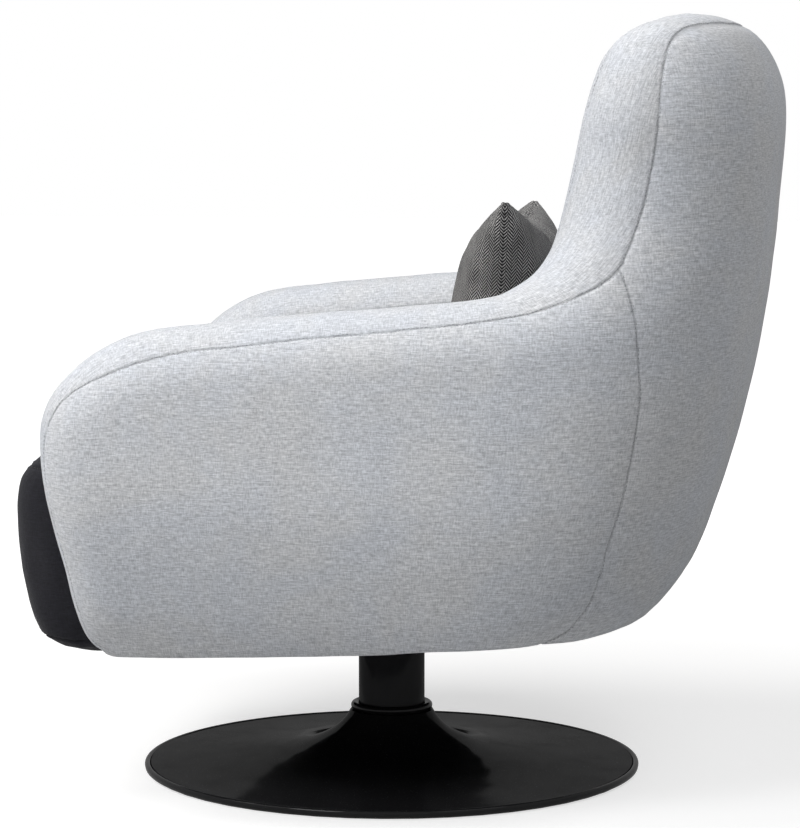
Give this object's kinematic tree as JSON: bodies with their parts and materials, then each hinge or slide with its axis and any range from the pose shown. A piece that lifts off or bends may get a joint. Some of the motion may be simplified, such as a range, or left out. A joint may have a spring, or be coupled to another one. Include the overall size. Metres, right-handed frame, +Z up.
{
  "type": "swivel armchair",
  "caption": "Upholstered tub armchair with low rounded arms and a thick raked back, a block seat cushion and a loose lumbar pillow, on a swivelling column and round pedestal base.",
  "frame": {"origin": "on the floor, on the vertical axis that the seat turns about, at the underside of the floor pad", "axes": "+Z up along the swivel axis; the seat faces -Y at rest; +X is towards the sitter's left arm"},
  "size_m": [0.8024, 0.8245, 0.8606],
  "materials": {
    "light_linen": "light grey heathered linen weave",
    "charcoal_cloth": "dark charcoal plain weave",
    "herringbone_tweed": "black and off-white herringbone tweed",
    "black_gloss": "black gloss enamel on steel",
    "cast_steel": "dark mill-scale steel",
    "zinc": "bright zinc plate",
    "spring_steel": "oil-tempered spring wire",
    "nylon": "natural nylon",
    "beech": "sawn beech",
    "plywood": "birch plywood",
    "black_felt": "black non-woven cover cloth",
    "grey_felt": "needled insulator felt",
    "foam_pad": "black EVA foam sheet"
  },
  "bodies": {
    "base": {"floor_pad": "foam_pad", "base_shell": "black_gloss", "collar_ring": "black_gloss", "ballast_plate": "cast_steel", "clamp_washer": "zinc", "clamp_bolt": "zinc", "column_plug": "cast_steel", "column_tube": "black_gloss", "lower_bush": "nylon", "upper_bush": "nylon", "thrust_washer": "zinc"},
    "seat": {"arm_board_left": "plywood", "arm_board_right": "plywood", "back_mid_rail": "beech", "back_post_left": "beech", "back_post_right": "beech", "back_top_rail": "beech", "cross_rail_front": "beech", "cross_rail_rear": "beech", "dust_cover": "black_felt", "front_rail": "beech", "plate_bolt_1": "zinc", "plate_bolt_2": "zinc", "plate_bolt_3": "zinc", "plate_bolt_4": "zinc", "rear_rail": "beech", "retaining_clip": "spring_steel", "seat_cushion": "charcoal_cloth", "seat_spring_1": "spring_steel", "seat_spring_2": "spring_steel", "seat_spring_3": "spring_steel", "seat_spring_4": "spring_steel", "side_rail_left": "beech", "side_rail_right": "beech", "spindle": "zinc", "spring_clip_front_1": "zinc", "spring_clip_front_2": "zinc", "spring_clip_front_3": "zinc", "spring_clip_front_4": "zinc", "spring_clip_rear_1": "zinc", "spring_clip_rear_2": "zinc", "spring_clip_rear_3": "zinc", "spring_clip_rear_4": "zinc", "spring_felt": "grey_felt", "swivel_plate": "black_gloss", "tee_nut_1": "zinc", "tee_nut_2": "zinc", "tee_nut_3": "zinc", "tee_nut_4": "zinc", "upholstered_arm_left": "light_linen", "upholstered_arm_right": "light_linen", "upholstered_back": "light_linen"},
    "pillow": {"lumbar_pillow": "herringbone_tweed"}
  },
  "joints": [
    {"name": "swivel", "type": "hinge", "parent": "base", "child": "seat", "pos_m": [0, 0, 0.1], "axis": [0, 0, 1], "continuous": true},
    {"name": "pillow_lift", "type": "slide", "parent": "seat", "child": "pillow", "axis": [0, 0, 1], "range_m": [0, 0.3]}
  ]
}
